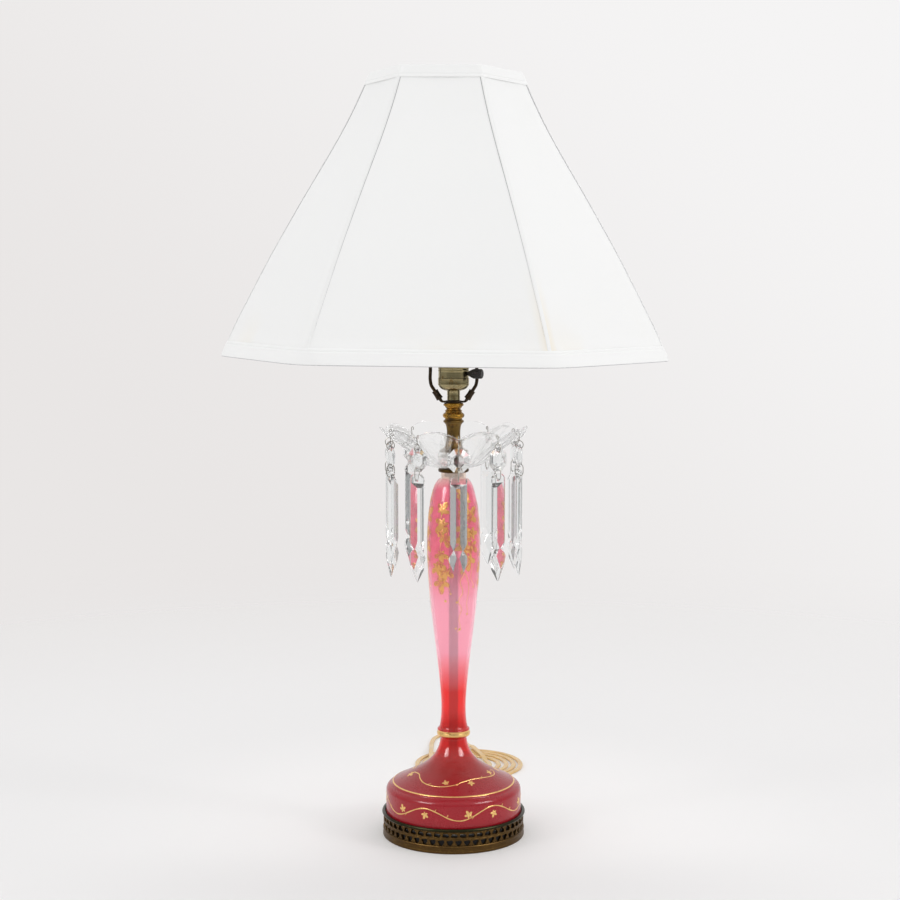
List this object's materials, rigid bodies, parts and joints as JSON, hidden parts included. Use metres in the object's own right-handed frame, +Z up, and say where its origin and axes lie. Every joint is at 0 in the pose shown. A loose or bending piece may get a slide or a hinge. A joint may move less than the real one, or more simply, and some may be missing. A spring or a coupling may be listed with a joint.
{
  "type": "glass table lamp with hanging prisms",
  "caption": "Table lamp: gilded ruby glass vase on a pierced gallery ring, scalloped glass pan with hanging prisms, brass column, socket and harp, six-sided shade and a coiled cord.",
  "frame": {"origin": "centre of the gallery ring's underside, on the table", "axes": "+Z up along the lamp's stem, -Y towards the viewer of the picture, +X to the viewer's right; the cord leaves towards +Y"},
  "size_m": [0.4616, 0.6116, 0.7932],
  "materials": {
    "antique_brass": "aged satin",
    "light_brass": "satin",
    "dark_bronze": "aged satin",
    "steel": "zinc plated",
    "ruby_glass": "stained, gilt decorated",
    "clear_glass": "clear, polished",
    "bulb_glass": "frosted",
    "shade_fabric": "woven, lined",
    "shade_trim": "folded bias tape",
    "knob_plastic": "moulded",
    "phenolic": "moulded",
    "liner_card": "waxed card",
    "gold_cord": "translucent vinyl"
  },
  "bodies": {
    "lamp_stand": {"gallery_ring": "antique_brass", "seat_plate": "steel", "lock_washer": "steel", "pipe_nut": "steel", "center_pipe": "steel", "glass_vase": "ruby_glass", "vase_cap": "antique_brass", "drip_pan": "clear_glass", "column_base": "antique_brass", "column_top": "antique_brass", "harp_saddle": "dark_bronze", "harp": "dark_bronze", "socket_cap": "light_brass", "socket_shell": "light_brass", "socket_liner": "liner_card", "socket_inside": "phenolic", "cord_bushing": "knob_plastic", "inner_cord": "gold_cord", "cord_lead": "gold_cord", "cord_coil": "gold_cord", "plug": "gold_cord"},
    "shade": {"shade_frame": "steel", "shade_cover": "shade_fabric", "shade_trim_top": "shade_trim", "shade_trim_bottom": "shade_trim"},
    "finial": {"finial": "antique_brass"},
    "knob": {"switch_knob": "knob_plastic"},
    "bulb": {"bulb": "bulb_glass"},
    "sleeve_left": {"harp_sleeve_left": "dark_bronze"},
    "sleeve_right": {"harp_sleeve_right": "dark_bronze"},
    "pendant_01": {"bead_01": "clear_glass", "link_01": "antique_brass"},
    "drop_01": {"prism_01": "clear_glass"},
    "pendant_02": {"bead_02": "clear_glass", "link_02": "antique_brass"},
    "drop_02": {"prism_02": "clear_glass"},
    "pendant_03": {"bead_03": "clear_glass", "link_03": "antique_brass"},
    "drop_03": {"prism_03": "clear_glass"},
    "pendant_04": {"bead_04": "clear_glass", "link_04": "antique_brass"},
    "drop_04": {"prism_04": "clear_glass"},
    "pendant_05": {"bead_05": "clear_glass", "link_05": "antique_brass"},
    "drop_05": {"prism_05": "clear_glass"},
    "pendant_06": {"bead_06": "clear_glass", "link_06": "antique_brass"},
    "drop_06": {"prism_06": "clear_glass"},
    "pendant_07": {"bead_07": "clear_glass", "link_07": "antique_brass"},
    "drop_07": {"prism_07": "clear_glass"},
    "pendant_08": {"bead_08": "clear_glass", "link_08": "antique_brass"},
    "drop_08": {"prism_08": "clear_glass"},
    "pendant_09": {"bead_09": "clear_glass", "link_09": "antique_brass"},
    "drop_09": {"prism_09": "clear_glass"},
    "pendant_10": {"bead_10": "clear_glass", "link_10": "antique_brass"},
    "drop_10": {"prism_10": "clear_glass"}
  },
  "joints": [
    {"name": "shade_turn", "type": "hinge", "parent": "lamp_stand", "child": "shade", "pos_m": [0, 0, 0.7663], "axis": [0, 0, 1], "continuous": true},
    {"name": "finial_lift", "type": "slide", "parent": "lamp_stand", "child": "finial", "axis": [0, 0, 1], "range_m": [0, 0.012]},
    {"name": "knob_turn", "type": "hinge", "parent": "lamp_stand", "child": "knob", "pos_m": [0, 0, 0.4867], "axis": [0.9063, -0.4226, 0], "continuous": true},
    {"name": "bulb_unscrew", "type": "slide", "parent": "lamp_stand", "child": "bulb", "axis": [0, 0, 1], "range_m": [0, 0.02]},
    {"name": "sleeve_left_lift", "type": "slide", "parent": "lamp_stand", "child": "sleeve_left", "axis": [-0.5446, 0, 0.8387], "range_m": [0, 0.004]},
    {"name": "sleeve_right_lift", "type": "slide", "parent": "lamp_stand", "child": "sleeve_right", "axis": [0.5446, 0, 0.8387], "range_m": [0, 0.004]},
    {"name": "bead_swing_01", "type": "hinge", "parent": "lamp_stand", "child": "pendant_01", "pos_m": [0.00485, -0.06943, 0.414], "axis": [-0.9976, -0.0698, 0], "range_deg": [-8, 45]},
    {"name": "prism_swing_01", "type": "hinge", "parent": "pendant_01", "child": "drop_01", "pos_m": [0.00485, -0.06943, 0.3852], "axis": [-0.9976, -0.0698, 0], "range_deg": [-6, 30]},
    {"name": "bead_swing_02", "type": "hinge", "parent": "lamp_stand", "child": "pendant_02", "pos_m": [0.04474, -0.05332, 0.414], "axis": [-0.766, -0.6428, 0], "range_deg": [-8, 45]},
    {"name": "prism_swing_02", "type": "hinge", "parent": "pendant_02", "child": "drop_02", "pos_m": [0.04474, -0.05332, 0.3852], "axis": [-0.766, -0.6428, 0], "range_deg": [-6, 30]},
    {"name": "bead_swing_03", "type": "hinge", "parent": "lamp_stand", "child": "pendant_03", "pos_m": [0.06753, -0.01684, 0.414], "axis": [-0.2419, -0.9703, 0], "range_deg": [-8, 45]},
    {"name": "prism_swing_03", "type": "hinge", "parent": "pendant_03", "child": "drop_03", "pos_m": [0.06753, -0.01684, 0.3852], "axis": [-0.2419, -0.9703, 0], "range_deg": [-6, 30]},
    {"name": "bead_swing_04", "type": "hinge", "parent": "lamp_stand", "child": "pendant_04", "pos_m": [0.06453, 0.02607, 0.414], "axis": [0.3746, -0.9272, 0], "range_deg": [-8, 45]},
    {"name": "prism_swing_04", "type": "hinge", "parent": "pendant_04", "child": "drop_04", "pos_m": [0.06453, 0.02607, 0.3852], "axis": [0.3746, -0.9272, 0], "range_deg": [-6, 30]},
    {"name": "bead_swing_05", "type": "hinge", "parent": "lamp_stand", "child": "pendant_05", "pos_m": [0.03688, 0.05902, 0.414], "axis": [0.848, -0.5299, 0], "range_deg": [-8, 45]},
    {"name": "prism_swing_05", "type": "hinge", "parent": "pendant_05", "child": "drop_05", "pos_m": [0.03688, 0.05902, 0.3852], "axis": [0.848, -0.5299, 0], "range_deg": [-6, 30]},
    {"name": "bead_swing_06", "type": "hinge", "parent": "lamp_stand", "child": "pendant_06", "pos_m": [-0.00485, 0.06943, 0.414], "axis": [0.9976, 0.0698, 0], "range_deg": [-8, 45]},
    {"name": "prism_swing_06", "type": "hinge", "parent": "pendant_06", "child": "drop_06", "pos_m": [-0.00485, 0.06943, 0.3852], "axis": [0.9976, 0.0698, 0], "range_deg": [-6, 30]},
    {"name": "bead_swing_07", "type": "hinge", "parent": "lamp_stand", "child": "pendant_07", "pos_m": [-0.04474, 0.05332, 0.414], "axis": [0.766, 0.6428, 0], "range_deg": [-8, 45]},
    {"name": "prism_swing_07", "type": "hinge", "parent": "pendant_07", "child": "drop_07", "pos_m": [-0.04474, 0.05332, 0.3852], "axis": [0.766, 0.6428, 0], "range_deg": [-6, 30]},
    {"name": "bead_swing_08", "type": "hinge", "parent": "lamp_stand", "child": "pendant_08", "pos_m": [-0.06753, 0.01684, 0.414], "axis": [0.2419, 0.9703, 0], "range_deg": [-8, 45]},
    {"name": "prism_swing_08", "type": "hinge", "parent": "pendant_08", "child": "drop_08", "pos_m": [-0.06753, 0.01684, 0.3852], "axis": [0.2419, 0.9703, 0], "range_deg": [-6, 30]},
    {"name": "bead_swing_09", "type": "hinge", "parent": "lamp_stand", "child": "pendant_09", "pos_m": [-0.06453, -0.02607, 0.414], "axis": [-0.3746, 0.9272, 0], "range_deg": [-8, 45]},
    {"name": "prism_swing_09", "type": "hinge", "parent": "pendant_09", "child": "drop_09", "pos_m": [-0.06453, -0.02607, 0.3852], "axis": [-0.3746, 0.9272, 0], "range_deg": [-6, 30]},
    {"name": "bead_swing_10", "type": "hinge", "parent": "lamp_stand", "child": "pendant_10", "pos_m": [-0.03688, -0.05902, 0.414], "axis": [-0.848, 0.5299, 0], "range_deg": [-8, 45]},
    {"name": "prism_swing_10", "type": "hinge", "parent": "pendant_10", "child": "drop_10", "pos_m": [-0.03688, -0.05902, 0.3852], "axis": [-0.848, 0.5299, 0], "range_deg": [-6, 30]}
  ]
}
